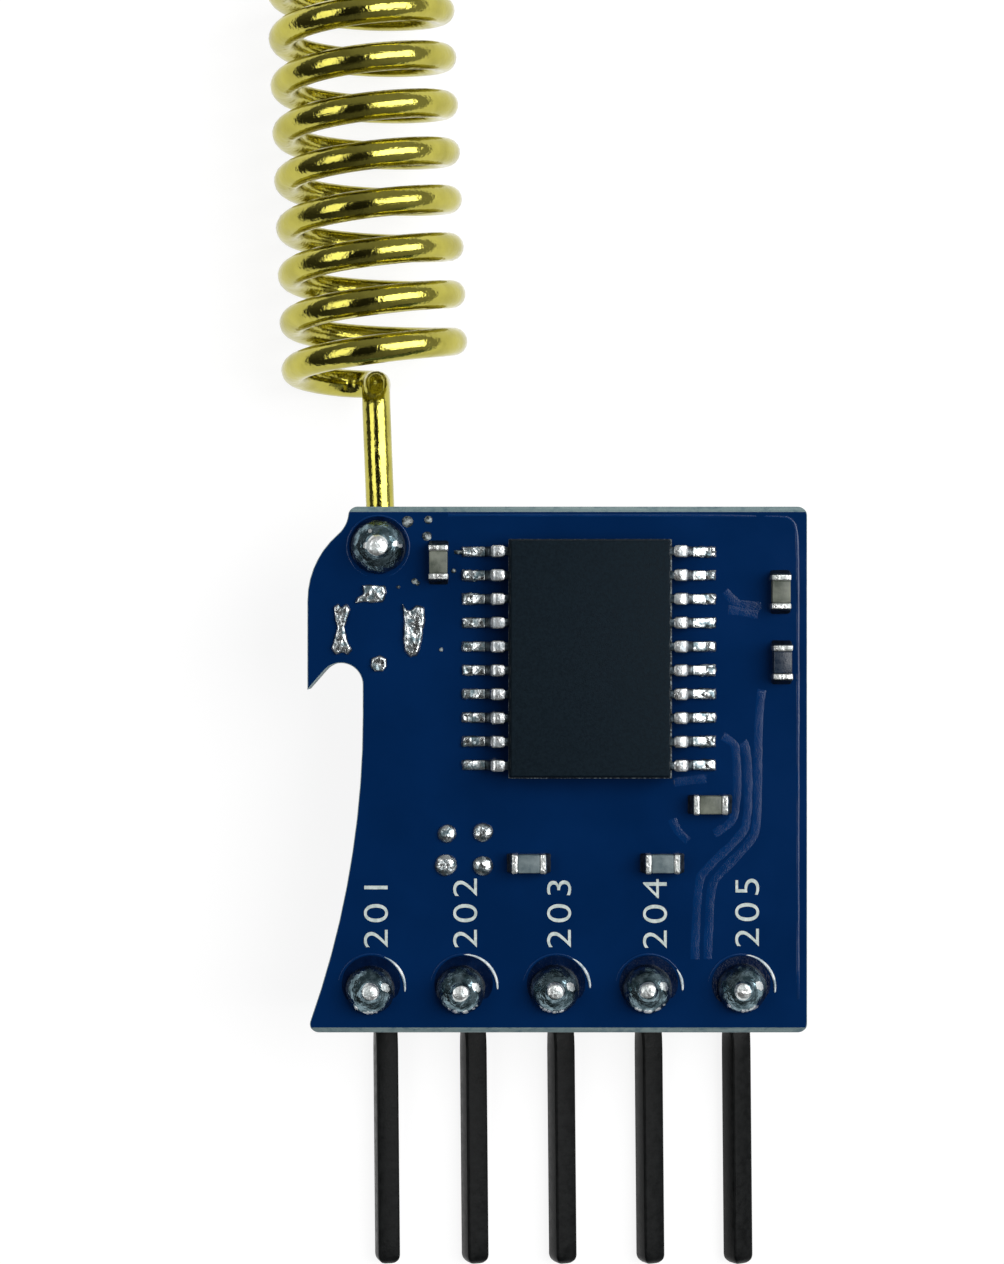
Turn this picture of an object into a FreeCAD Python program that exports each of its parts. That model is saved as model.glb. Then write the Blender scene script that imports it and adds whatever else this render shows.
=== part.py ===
import FreeCAD, Part
import math
import os
import Sketcher

# Radio receiver module: a notched circuit board with a 20-lead chip, a spring antenna and a five-pin header.
# The board lies face up above the surface that the coil and the pins rest on. X runs along the header,
# Y runs from the header to the antenna, Z is up, and every length is in millimetres.

os.makedirs("parts", exist_ok=True)
Vector = FreeCAD.Vector
UP = Vector(0, 0, 1)

# Driving sizes: alias, value and meaning
SIZES = [
    ("frame_x", 0.68, "middle of the board from the middle of the whole part, along X"),
    ("frame_y", -4.44, "middle of the board from the middle of the whole part, along Y"),
    ("board_front", 5.5, "height of the board's component side above the resting surface"),
    ("board_width", 13.72, "overall width of the board"),
    ("board_length", 14.46, "overall length of the board"),
    ("board_thickness", 1.6, "thickness of the board"),
    ("corner_radius", 0.25, "rounding of the board's corners"),
    ("score_bevel", 0.15, "bevel that the parting groove leaves on the two straight ends"),
    ("shoulder_radius", 2.39, "round shoulder at the upper left"),
    ("shoulder_turn", 49.4, "angle of the round shoulder, degrees"),
    ("throat_radius", 0.84, "hollow curve above the shoulder"),
    ("throat_turn", 43.0, "angle of the hollow curve, degrees"),
    ("barb_drop", 5.04, "from the board's upper edge down to the pointed barb"),
    ("notch_radius", 0.6, "hook-shaped notch under the barb"),
    ("notch_turn", 140.0, "angle of the notch's arc, degrees"),
    ("notch_drop", 4.9, "from the board's upper edge down to the centre of the notch's arc"),
    ("waist_inset", 1.52, "how far the long hollow side lies inside the board's width"),
    ("side_radius", 25.3, "radius of the long hollow side"),
    ("side_turn", 19.4, "angle of the long hollow side, degrees"),
    ("pin_count", 5, "number of header pins"),
    ("pin_spacing", 2.54, "distance between header pins"),
    ("pin_width", 0.64, "side of the square header pin"),
    ("pin_reach", 8.6, "from a pin's hole to its free end"),
    ("pin_above", 0.85, "height of a pin's upper end above the board"),
    ("pin_bend", 0.72, "bend radius of a pin at its centre line"),
    ("pin_chamfer", 0.13, "chamfer round both ends of a pin"),
    ("header_x", -0.02, "middle pin of the header from the middle of the board"),
    ("header_inset", 1.24, "row of header holes from the board's lower edge"),
    ("header_hole", 1.0, "diameter of a header hole"),
    ("strip_width", 2.5, "width of the header's plastic strip"),
    ("strip_height", 2.54, "height of the header's plastic strip"),
    ("strip_notch", 0.45, "depth of the break notches in the strip's sides"),
    ("joint_radius", 0.68, "radius of a header solder joint on the board"),
    ("joint_height", 0.7, "height of a header solder joint"),
    ("mound_shoulder", 0.9, "radius of a solder mound's shoulder, as a share of its foot's"),
    ("mound_rise", 0.6, "height of a solder mound's shoulder, as a share of its full height"),
    ("mound_top", 0.72, "radius of a solder mound's flat top, as a share of its foot's"),
    ("antenna_inset", 1.94, "antenna hole from the board's left edge"),
    ("antenna_drop", 1.11, "antenna hole from the board's upper edge"),
    ("antenna_hole", 1.0, "diameter of the antenna hole"),
    ("antenna_lean", 2.2, "lean of the antenna to the left, degrees"),
    ("antenna_above", 0.62, "height of the wire's end above the board"),
    ("antenna_joint_radius", 0.73, "radius of the antenna's solder joint"),
    ("antenna_joint_height", 0.5, "height of the antenna's solder joint"),
    ("joint_clearance", 0.03, "room between the round joint's bore and the antenna wire"),
    ("wire_diameter", 0.8, "thickness of the antenna wire"),
    ("wire_bend", 0.8, "bend radius of the wire at its centre line"),
    ("stem_length", 3.92, "from the antenna hole to the top bend of the stem"),
    ("coil_diameter", 4.5, "coil diameter at the wire's centre line"),
    ("coil_rise", 1.34, "rise of the coil for each turn"),
    ("coil_turns", 9.0, "number of turns"),
    ("chip_x", 0.87, "middle of the chip from the middle of the board, along X"),
    ("chip_y", 3.06, "middle of the chip from the middle of the board, along Y"),
    ("chip_width", 4.4, "width of the chip's moulded body"),
    ("chip_length", 6.5, "length of the chip's moulded body"),
    ("chip_height", 1.0, "thickness of the chip's moulded body"),
    ("chip_standoff", 0.1, "gap between the chip's body and the board"),
    ("chip_draft", 7.0, "draft of the chip's walls, degrees"),
    ("leads_a_side", 10, "leads on each long side of the chip"),
    ("lead_spacing", 0.65, "distance between the chip's leads"),
    ("lead_width", 0.26, "width of a lead"),
    ("lead_thickness", 0.15, "thickness of a lead"),
    ("lead_shoulder", 0.48, "flat top of a lead beside the chip"),
    ("lead_slope", 0.19, "how far a lead runs out while it comes down"),
    ("lead_foot", 0.33, "flat foot of a lead on its land"),
    ("toe_width", 0.36, "width of the solder at a lead's toe"),
    ("toe_reach", 0.32, "length of the solder at a lead's toe"),
    ("toe_height", 0.12, "height of the solder at a lead's toe"),
    ("toe_nose", 0.06, "steep nose of the solder at a lead's toe, along and up"),
    ("small_length", 1.0, "length of a small capacitor or resistor"),
    ("small_width", 0.5, "width of a small capacitor or resistor"),
    ("small_height", 0.45, "height of a small capacitor or resistor"),
    ("cap_length", 0.2, "length of a metal end cap"),
    ("cap_skin", 0.02, "how far an end cap stands proud of the ceramic"),
    ("fillet_reach", 0.12, "solder beyond an end cap"),
    ("fillet_height", 0.2, "height of the solder at an end cap"),
    ("tinning_height", 0.1, "height of the solder on a bare land"),
    ("tinning_slope", 35.0, "slope of the solder's sides on a bare land, degrees from upright"),
    ("land_diameter", 0.56, "diameter of a round test land"),
    ("land_spacing_x", 1.0, "distance between the test lands, along X"),
    ("land_spacing_y", 0.88, "distance between the test lands, along Y"),
    ("lands_aside", -3.4, "middle of the four test lands from the middle of the chip, along X"),
    ("lands_below", 2.0, "middle of the four test lands below the chip's lower end"),
]

# Places that others are measured from, as expressions from the middle of the board
LEFT_EDGE, RIGHT_EDGE = "-Sizes.board_width / 2", "Sizes.board_width / 2"
LOWER_EDGE, UPPER_EDGE = "-Sizes.board_length / 2", "Sizes.board_length / 2"
HEADER_Y = f"({LOWER_EDGE} + Sizes.header_inset)"
ANTENNA_X = f"({LEFT_EDGE} + Sizes.antenna_inset)"
ANTENNA_Y = f"({UPPER_EDGE} - Sizes.antenna_drop)"
LEAD_TIP = "(Sizes.chip_width / 2 + Sizes.lead_shoulder + Sizes.lead_slope + Sizes.lead_foot)"
LEFT_SOLDER = f"(Sizes.chip_x - {LEAD_TIP} - Sizes.toe_reach)"
CHIP_FOOT = "(Sizes.chip_y - Sizes.chip_length / 2)"

# Small parts on the board: name, what the place is measured from, the place, and turn in degrees
SMALL_PARTS = [
    ("capacitor_1", LEFT_SOLDER, "Sizes.chip_y", -0.61, 2.63, 90),
    ("capacitor_2", RIGHT_EDGE, "Sizes.chip_y", -0.74, 1.82, 90),
    ("capacitor_3", "Sizes.chip_x", CHIP_FOOT, 3.32, -0.76, 0),
    ("capacitor_4", "Sizes.chip_x", CHIP_FOOT, -1.65, -2.37, 0),
    ("capacitor_5", "Sizes.chip_x", CHIP_FOOT, 2.01, -2.37, 0),
    ("resistor", RIGHT_EDGE, "Sizes.chip_y", -0.7, -0.11, 90),
]

# Tinned lands of the empty aerial socket: name, place from the antenna hole, and size
SOCKET_LANDS = [
    ("tinned_land_left", -1.02, -2.27, 0.6, 1.46),
    ("tinned_land_right", 0.97, -2.26, 0.66, 1.6),
    ("tinned_land_top", -0.09, -1.29, 0.71, 0.56),
    ("tinned_land_bottom", 0.01, -3.22, 0.47, 0.47),
]

doc = FreeCAD.newDocument("radio_module")
sheet = doc.addObject("Spreadsheet::Sheet", "Sizes")
for row, (alias, number, meaning) in enumerate(SIZES, start=1):
    sheet.set(f"A{row}", alias)
    sheet.set(f"B{row}", str(number))
    sheet.set(f"C{row}", meaning)
    sheet.setAlias(f"B{row}", alias)
doc.recompute()

nodes = []


def size(alias):
    return float(sheet.get(alias))


def new_body(name, x, y, z, turn="0"):
    """An empty body at a place that is given as three expressions, turned about Z."""
    body = doc.addObject("PartDesign::Body", name)
    body.Label = name
    body.Placement = FreeCAD.Placement(Vector(), FreeCAD.Rotation(UP, 0))
    body.setExpression("Placement.Base.x", f"Sizes.frame_x + {x}")
    body.setExpression("Placement.Base.y", f"Sizes.frame_y + {y}")
    body.setExpression("Placement.Base.z", z)
    body.setExpression("Placement.Rotation.Angle", turn)
    nodes.append(body)
    return body


def new_sketch(body, role, name, offset="0"):
    sketch = body.newObject("Sketcher::SketchObject", f"{body.Name}_{name}")
    plane = [item for item in body.Origin.OriginFeatures if item.Role == role][0]
    sketch.AttachmentSupport = [(plane, "")]
    sketch.MapMode = "FlatFace"
    sketch.setExpression("AttachmentOffset.Base.z", offset)
    return sketch


def amount(sketch, expression):
    """The number that an expression gives now."""
    result = sketch.evalExpression(expression)
    return float(getattr(result, "Value", result))


def pin_point(sketch, geometry, end, x, y):
    """Hold one point of a sketch at a place that is given as two expressions."""
    for kind, expression in (("DistanceX", x), ("DistanceY", y)):
        start = amount(sketch, expression)
        index = sketch.addConstraint(Sketcher.Constraint(kind, -1, 1, geometry, end, start))
        sketch.setExpression(f"Constraints[{index}]", expression)


def draw(sketch, corners, closed=True):
    """An outline through its corners. The edge that leaves a corner (x, y) is straight,
    and one that leaves (x, y, radius, turn) is an arc to the left (1) or to the right (-1)."""
    spots = [Vector(amount(sketch, corner[0]), amount(sketch, corner[1]), 0) for corner in corners]
    first = sketch.GeometryCount
    count = len(corners) if closed else len(corners) - 1
    ends = []
    for index in range(count):
        here, there = spots[index], spots[(index + 1) % len(spots)]
        turn = 1
        if len(corners[index]) == 4:
            expression, turn = corners[index][2:]
            radius = amount(sketch, expression)
            chord = there - here
            inward = Vector(-chord.y, chord.x, 0).normalize() * turn
            rise = radius - math.sqrt(radius**2 - chord.Length**2 / 4)
            middle = (here + there) * 0.5 - inward * rise
            edge = sketch.addGeometry(Part.ArcOfCircle(here, middle, there))
            held = sketch.addConstraint(Sketcher.Constraint("Radius", edge, radius))
            sketch.setExpression(f"Constraints[{held}]", expression)
        else:
            edge = sketch.addGeometry(Part.LineSegment(here, there))
        ends.append((1, 2) if turn > 0 else (2, 1))
    for index in range(count):
        following = (index + 1) % count
        pin_point(sketch, first + index, ends[index][0], *corners[index][:2])
        if closed or following:
            joined = (first + index, ends[index][1], first + following, ends[following][0])
            sketch.addConstraint(Sketcher.Constraint("Coincident", *joined))
    if not closed:
        pin_point(sketch, first + count - 1, ends[-1][1], *corners[-1][:2])


def rectangle(sketch, width, length, x="0", y="0"):
    left, right = f"{x} - ({width}) / 2", f"{x} + ({width}) / 2"
    low, high = f"{y} - ({length}) / 2", f"{y} + ({length}) / 2"
    draw(sketch, [(left, low), (right, low), (right, high), (left, high)])


def circle(sketch, diameter, x="0", y="0"):
    centre = Vector(amount(sketch, x), amount(sketch, y), 0)
    index = sketch.addGeometry(Part.Circle(centre, UP, amount(sketch, diameter) / 2))
    held = sketch.addConstraint(Sketcher.Constraint("Diameter", index, amount(sketch, diameter)))
    sketch.setExpression(f"Constraints[{held}]", diameter)
    pin_point(sketch, index, 3, x, y)


def pad(body, sketch, length, taper="0", reverse=False, middle=False):
    feature = body.newObject("PartDesign::Pad", f"{sketch.Name}_pad")
    feature.Profile = sketch
    feature.Reversed = reverse
    feature.Midplane = middle
    feature.setExpression("Length", length)
    feature.setExpression("TaperAngle", taper)
    doc.recompute()
    return feature


def cut_through(body, sketch):
    """Cut a sketch's shape through the whole body, both ways from the sketch."""
    feature = body.newObject("PartDesign::Pocket", f"{sketch.Name}_cut")
    feature.Profile = sketch
    feature.Type = "ThroughAll"
    feature.Midplane = True
    doc.recompute()
    return feature


def repeat(body, features, axis, step, count):
    """Copies of some features in a row, counted with the first one."""
    sketch = features[0].Profile[0]
    feature = body.newObject("PartDesign::LinearPattern", f"{features[0].Name}_row")
    feature.Originals = features
    feature.Direction = (sketch, [axis])
    feature.setExpression("Length", f"{step} * ({count} - 1)")
    feature.setExpression("Occurrences", count)
    body.Tip = feature
    doc.recompute()
    return feature


def bevel(body, base, width, chosen):
    """Chamfer the edges whose two ends both pass a test."""
    names = []
    for index, edge in enumerate(base.Shape.Edges, start=1):
        if all(chosen(vertex.Point) for vertex in edge.Vertexes):
            names.append(f"Edge{index}")
    feature = body.newObject("PartDesign::Chamfer", f"{base.Name}_bevel")
    feature.Base = (base, names)
    feature.setExpression("Size", width)
    doc.recompute()
    return feature


def near(first, second):
    return abs(first - second) < 1e-4


def make_board():
    """The board's outline runs round from its lower left corner, with the material on the left."""
    body = new_body("circuit_board", "0", "0", "Sizes.board_front - Sizes.board_thickness")
    left, right, low, high = LEFT_EDGE, RIGHT_EDGE, LOWER_EDGE, UPPER_EDGE
    corner, side, notch = "Sizes.corner_radius", "Sizes.side_radius", "Sizes.notch_radius"
    throat, shoulder = "Sizes.throat_radius", "Sizes.shoulder_radius"

    # Long hollow side, from the waist down to the heel
    waist_x = f"({left} + Sizes.waist_inset)"
    heel_y = f"({low} + {corner} * (1 + sin(Sizes.side_turn)))"
    heel_x = f"({waist_x} - {side} * (1 - cos(Sizes.side_turn)))"
    waist_y = f"({heel_y} + {side} * sin(Sizes.side_turn))"

    # Hollow throat and round shoulder, from the top edge down to the straight left edge
    before = "(90 - Sizes.shoulder_turn)"
    after = "(90 - Sizes.shoulder_turn + Sizes.throat_turn)"
    step_x = f"({left} + {shoulder} * (1 - cos(Sizes.shoulder_turn)))"
    throat_x = f"({step_x} + {throat} * (sin({after}) - sin({before})))"
    throat_y = f"({high} - {corner} * (1 - cos({after})))"
    step_y = f"({throat_y} - {throat} * (cos({before}) - cos({after})))"
    shoulder_y = f"({step_y} - {shoulder} * sin(Sizes.shoulder_turn))"

    # Hook-shaped notch under the barb
    hook_x = f"{waist_x} - {notch} * (1 - cos(Sizes.notch_turn))"
    notch_y = f"{high} - Sizes.notch_drop"
    hook_y = f"{notch_y} + {notch} * sin(Sizes.notch_turn)"

    sketch = new_sketch(body, "XY_Plane", "outline")
    draw(
        sketch,
        [
            (f"{heel_x} + {corner} * cos(Sizes.side_turn)", low),
            (f"{right} - {corner}", low, corner, 1),
            (right, f"{low} + {corner}"),
            (right, f"{high} - {corner}", corner, 1),
            (f"{right} - {corner}", high),
            (f"{throat_x} + {corner} * sin({after})", high, corner, 1),
            (throat_x, throat_y, throat, -1),
            (step_x, step_y, shoulder, 1),
            (left, shoulder_y),
            (left, f"{high} - Sizes.barb_drop"),
            (hook_x, hook_y, notch, -1),
            (waist_x, notch_y),
            (waist_x, waist_y, side, -1),
            (heel_x, heel_y, corner, 1),
        ],
    )
    pad(body, sketch, "Sizes.board_thickness")

    # Parting groove: a straight bevel along both faces of the two straight ends
    groove, deep = new_sketch(body, "YZ_Plane", "groove"), "Sizes.score_bevel"
    for end, out in ((low, 1), (high, -1)):
        for face, inward in (("0", 1), ("Sizes.board_thickness", -1)):
            beside = (f"{end} + {out} * {deep}", face)
            draw(groove, [(end, face), beside, (end, f"{face} + {inward} * {deep}")])
    cut_through(body, groove)

    sketch = new_sketch(body, "XY_Plane", "header_hole")
    first = "Sizes.header_x - Sizes.pin_spacing * (Sizes.pin_count - 1) / 2"
    circle(sketch, "Sizes.header_hole", first, HEADER_Y)
    repeat(body, [cut_through(body, sketch)], "H_Axis", "Sizes.pin_spacing", "Sizes.pin_count")
    sketch = new_sketch(body, "XY_Plane", "antenna_hole")
    circle(sketch, "Sizes.antenna_hole", ANTENNA_X, ANTENNA_Y)
    cut_through(body, sketch)


def make_strip():
    """Plastic strip of the header, flat against the back of the board, with break notches."""
    floor = "Sizes.board_front - Sizes.board_thickness - Sizes.strip_height"
    body = new_body("header_strip", "Sizes.header_x", HEADER_Y, floor)
    sketch = new_sketch(body, "XY_Plane", "outline")
    rectangle(sketch, "Sizes.pin_spacing * Sizes.pin_count", "Sizes.strip_width")
    pad(body, sketch, "Sizes.strip_height")

    sketch = new_sketch(body, "XY_Plane", "notch")
    end = "-Sizes.pin_spacing * Sizes.pin_count / 2"
    deep = "Sizes.strip_notch"
    for side in (1, -1):
        wall = f"{side} * Sizes.strip_width / 2"
        base = [(f"{end} - {deep}", wall), (f"{end} + {deep}", wall)]
        draw(sketch, base + [(end, f"{wall} - {side} * {deep}")])
    notch = cut_through(body, sketch)
    repeat(body, [notch], "H_Axis", "Sizes.pin_spacing", "Sizes.pin_count + 1")

    sketch = new_sketch(body, "XY_Plane", "pin_hole")
    rectangle(sketch, "Sizes.pin_width", "Sizes.pin_width", f"{end} + Sizes.pin_spacing / 2")
    repeat(body, [cut_through(body, sketch)], "H_Axis", "Sizes.pin_spacing", "Sizes.pin_count")


def make_pin(number):
    """A square pin, down through the board and the strip and then bent to run along -Y."""
    x = f"Sizes.header_x + Sizes.pin_spacing * ({number} - (Sizes.pin_count + 1) / 2)"
    body = new_body(f"header_pin_{number}", x, HEADER_Y, "0")
    top, axis = "(Sizes.board_front + Sizes.pin_above)", "Sizes.pin_width / 2"
    path = new_sketch(body, "YZ_Plane", "path")
    corners = [
        ("0", top),
        ("0", f"{axis} + Sizes.pin_bend", "Sizes.pin_bend", -1),
        ("-Sizes.pin_bend", axis),
        ("-Sizes.pin_reach", axis),
    ]
    draw(path, corners, closed=False)
    section = new_sketch(body, "XY_Plane", "section", top)
    rectangle(section, "Sizes.pin_width", "Sizes.pin_width")
    pipe = body.newObject("PartDesign::AdditivePipe", f"{body.Name}_bar")
    pipe.Profile = section
    pipe.Spine = (path, ["Edge1", "Edge2", "Edge3"])
    doc.recompute()
    high, far = size("board_front") + size("pin_above"), -size("pin_reach")
    bevel(body, pipe, "Sizes.pin_chamfer", lambda p: near(p.z, high) or near(p.y, far))


def make_joint(name, x, y, radius, height, bore):
    """A mound of solder round a wire or a pin: steep at its foot and sloping in at its top."""
    body = new_body(name, x, y, "Sizes.board_front")
    sketch = new_sketch(body, "XZ_Plane", "profile")
    profile = [
        ("0", "0"),
        (radius, "0"),
        (f"Sizes.mound_shoulder * {radius}", f"Sizes.mound_rise * {height}"),
        (f"Sizes.mound_top * {radius}", height),
        ("0", height),
    ]
    draw(sketch, profile)
    mound = body.newObject("PartDesign::Revolution", f"{name}_mound")
    mound.Profile = sketch
    mound.ReferenceAxis = (sketch, ["V_Axis"])
    doc.recompute()
    hole = new_sketch(body, "XY_Plane", "bore")
    bore(hole)
    cut_through(body, hole)


def make_chip():
    """Moulded body: a plain band where the leads leave it, and drafted walls above and below."""
    body = new_body("chip_body", "Sizes.chip_x", "Sizes.chip_y", "Sizes.board_front")
    middle = "(Sizes.chip_standoff + Sizes.chip_height / 2)"
    half_band, wall = "Sizes.lead_thickness / 2", "(Sizes.chip_height - Sizes.lead_thickness) / 2"
    for name, offset, length, taper, reverse in (
        ("band", f"{middle} - {half_band}", "Sizes.lead_thickness", "0", False),
        ("cover", f"{middle} + {half_band}", wall, "-Sizes.chip_draft", False),
        ("base", f"{middle} - {half_band}", wall, "-Sizes.chip_draft", True),
    ):
        sketch = new_sketch(body, "XY_Plane", name, offset)
        rectangle(sketch, "Sizes.chip_width", "Sizes.chip_length")
        pad(body, sketch, length, taper, reverse)


def make_lead(number):
    """A gull-wing lead. The left row counts down the board and the right row counts back up."""
    count = int(size("leads_a_side"))
    left = number <= count
    row = number - 1 if left else 2 * count - number
    y = f"Sizes.chip_y + Sizes.lead_spacing * ((Sizes.leads_a_side - 1) / 2 - {row})"
    name = f"chip_lead_{number:02d}"
    body = new_body(name, "Sizes.chip_x", y, "Sizes.board_front", "180" if left else "0")
    middle = "(Sizes.chip_standoff + Sizes.chip_height / 2)"
    thick, tip = "Sizes.lead_thickness", LEAD_TIP
    wall = "Sizes.chip_width / 2"
    shoulder = f"{wall} + Sizes.lead_shoulder"
    sketch = new_sketch(body, "XZ_Plane", "profile")
    profile = [
        (wall, f"{middle} - {thick} / 2"),
        (f"{shoulder} - {thick}", f"{middle} - {thick} / 2"),
        (f"{shoulder} - {thick} + Sizes.lead_slope", "0"),
        (tip, "0"),
        (tip, thick),
        (f"{shoulder} + Sizes.lead_slope", thick),
        (shoulder, f"{middle} + {thick} / 2"),
        (wall, f"{middle} + {thick} / 2"),
    ]
    draw(sketch, profile)
    pad(body, sketch, "Sizes.lead_width", middle=True)


def make_toes():
    """Solder wedges at the toes of the leads."""
    row = "Sizes.lead_spacing * (Sizes.leads_a_side - 1) / 2"
    body = new_body("chip_solder", "Sizes.chip_x", f"Sizes.chip_y + {row}", "Sizes.board_front")
    tip, far = LEAD_TIP, f"({LEAD_TIP} + Sizes.toe_reach)"
    sketch = new_sketch(body, "XZ_Plane", "profile")
    profile = [
        (tip, "0"),
        (far, "0"),
        (f"{far} - Sizes.toe_nose", "Sizes.toe_nose"),
        (tip, "Sizes.toe_height"),
    ]
    draw(sketch, profile)
    toe = pad(body, sketch, "Sizes.toe_width", middle=True)
    other = new_sketch(body, "XZ_Plane", "profile_left")
    draw(other, [(f"-({x})", y) for x, y in reversed(profile)])
    toe_left = pad(body, other, "Sizes.toe_width", middle=True)
    repeat(body, [toe, toe_left], "N_Axis", "Sizes.lead_spacing", "Sizes.leads_a_side")


def make_small_part(name, from_x, from_y, x, y, turn):
    """A ceramic block between two metal ends, each with the solder that holds it to the board."""
    place = (f"{from_x} + {x}", f"{from_y} + {y}", "Sizes.board_front")
    core = new_body(f"{name}_body", *place, str(turn))
    sketch = new_sketch(core, "XY_Plane", "outline")
    rectangle(sketch, "Sizes.small_length - 2 * Sizes.cap_length", "Sizes.small_width")
    pad(core, sketch, "Sizes.small_height")

    ends = new_body(f"{name}_ends", *place, str(turn))
    inner, outer = "(Sizes.small_length / 2 - Sizes.cap_length)", "Sizes.small_length / 2"
    top = "Sizes.small_height + Sizes.cap_skin"
    sketch = new_sketch(ends, "XZ_Plane", "profile")
    for side in ("1", "-1"):
        profile = [
            (f"{side} * {inner}", "0"),
            (f"{side} * ({outer} + Sizes.fillet_reach)", "0"),
            (f"{side} * {outer}", "Sizes.fillet_height"),
            (f"{side} * {outer}", top),
            (f"{side} * {inner}", top),
        ]
        draw(sketch, profile if side == "1" else profile[::-1])
    pad(ends, sketch, "Sizes.small_width + 2 * Sizes.cap_skin", middle=True)


def make_socket_land(name, x, y, width, length):
    """A low pool of solder on a rectangular land."""
    body = new_body(name, f"{ANTENNA_X} + {x}", f"{ANTENNA_Y} + {y}", "Sizes.board_front")
    sketch = new_sketch(body, "XY_Plane", "outline")
    rectangle(sketch, str(width), str(length))
    pad(body, sketch, "Sizes.tinning_height", "-Sizes.tinning_slope")


def make_test_lands():
    """Four low mounds of solder on round lands."""
    mounds = []
    foot = "Sizes.land_diameter / 2"
    for number, (across, along) in enumerate(((-1, -1), (1, -1), (1, 1), (-1, 1)), start=1):
        mound = doc.addObject("Part::Cone", f"test_land_mound_{number}")
        mound.setExpression("Radius1", foot)
        mound.setExpression("Radius2", f"{foot} - Sizes.tinning_height * tan(Sizes.tinning_slope)")
        mound.setExpression("Height", "Sizes.tinning_height")
        x = f"Sizes.chip_x + Sizes.lands_aside + {across} * Sizes.land_spacing_x / 2"
        y = f"{CHIP_FOOT} - Sizes.lands_below + {along} * Sizes.land_spacing_y / 2"
        mound.setExpression("Placement.Base.x", f"Sizes.frame_x + {x}")
        mound.setExpression("Placement.Base.y", f"Sizes.frame_y + {y}")
        mound.setExpression("Placement.Base.z", "Sizes.board_front")
        mounds.append(mound)
    group = doc.addObject("Part::Compound", "test_land_solder")
    group.Label = "test_land_solder"
    group.Links = mounds
    nodes.append(group)


# The antenna is one wire. Its centre line is given by stations, each a place, a heading and a side
# direction square to the heading. Y runs up the stem here and Z points away from the board's back.

FACES_ROUND_WIRE = 10
STATIONS_A_TURN = 24


def wire_section(place, heading, side):
    """The wire's section at a station: an even polygon with the area of the round wire."""
    area = math.pi * size("wire_diameter") ** 2 / 4
    step = 2 * math.pi / FACES_ROUND_WIRE
    reach = math.sqrt(2 * area / (FACES_ROUND_WIRE * math.sin(step)))
    across = heading.cross(side)
    corners = []
    for index in range(FACES_ROUND_WIRE):
        angle = step * (index + 0.5)
        corners.append(place + side * (reach * math.cos(angle)) + across * (reach * math.sin(angle)))
    return Part.makePolygon(corners + corners[:1])


def turning(turn):
    """Even angles from nothing to a turn, no further apart than the stations of the coil."""
    count = math.ceil(turn / (2 * math.pi / STATIONS_A_TURN) - 1e-6)
    return [turn * index / count for index in range(count + 1)]


def make_antenna():
    bend, coil = size("wire_bend"), size("coil_diameter") / 2
    pitch, stem = size("coil_rise"), size("stem_length")
    slope = math.atan2(pitch, 2 * math.pi * coil)
    axis_height = coil + size("wire_diameter") / 2
    end_height = size("board_front") + size("antenna_above") - axis_height
    right = Vector(1, 0, 0)

    # Tail down through the board, then a square bend into the stem
    stations = [(Vector(0, 0, end_height), Vector(0, 0, -1), right)]
    for angle in turning(math.pi / 2):
        place = Vector(0, bend * (1 - math.cos(angle)), bend * (1 - math.sin(angle)))
        stations.append((place, Vector(0, math.sin(angle), -math.cos(angle)), right))

    # Top bend, from the stem to a short run that heads for the back of the coil
    for angle in turning(math.pi / 2 - slope):
        place = Vector(0, stem + bend * math.sin(angle), -bend * (1 - math.cos(angle)))
        stations.append((place, Vector(0, math.cos(angle), -math.sin(angle)), right))
    run_start = stations[-1][0]

    def climb(flat_heading):
        """The heading in plan, tilted up to the slope of the coil."""
        return flat_heading * math.cos(slope) + Vector(0, math.sin(slope), 0)

    # Curl that leaves the run and meets the ring of the coil from inside
    centre_z = -math.sqrt((coil - bend) ** 2 - bend**2)
    curl_start = run_start.y + (run_start.z - centre_z) * math.tan(slope)
    for angle in turning(math.acos(-bend / (coil - bend))):
        side = Vector(math.cos(angle), 0, -math.sin(angle))
        place = Vector(-bend, curl_start + bend * angle * math.tan(slope), centre_z) + side * bend
        stations.append((place, climb(Vector(-math.sin(angle), 0, -math.cos(angle))), side))

    # Turns of the coil, right-handed, seen from the stem's end
    meeting = stations[-1][0]
    first = math.atan2(meeting.x, meeting.z)
    for angle in turning(2 * math.pi * size("coil_turns"))[1:]:
        side = Vector(math.sin(first + angle), 0, math.cos(first + angle))
        place = side * coil + Vector(0, meeting.y + pitch * angle / (2 * math.pi), 0)
        heading = Vector(math.cos(first + angle), 0, -math.sin(first + angle))
        stations.append((place, climb(heading), side))

    antenna = doc.addObject("Part::Feature", "spring_antenna")
    antenna.Label = "spring_antenna"
    antenna.Shape = Part.makeLoft([wire_section(*station) for station in stations], True, True)
    hole_x = size("frame_x") - size("board_width") / 2 + size("antenna_inset")
    hole_y = size("frame_y") + size("board_length") / 2 - size("antenna_drop")
    turn = FreeCAD.Rotation(UP, size("antenna_lean"))
    antenna.Placement = FreeCAD.Placement(Vector(hole_x, hole_y, axis_height), turn)
    nodes.append(antenna)


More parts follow.
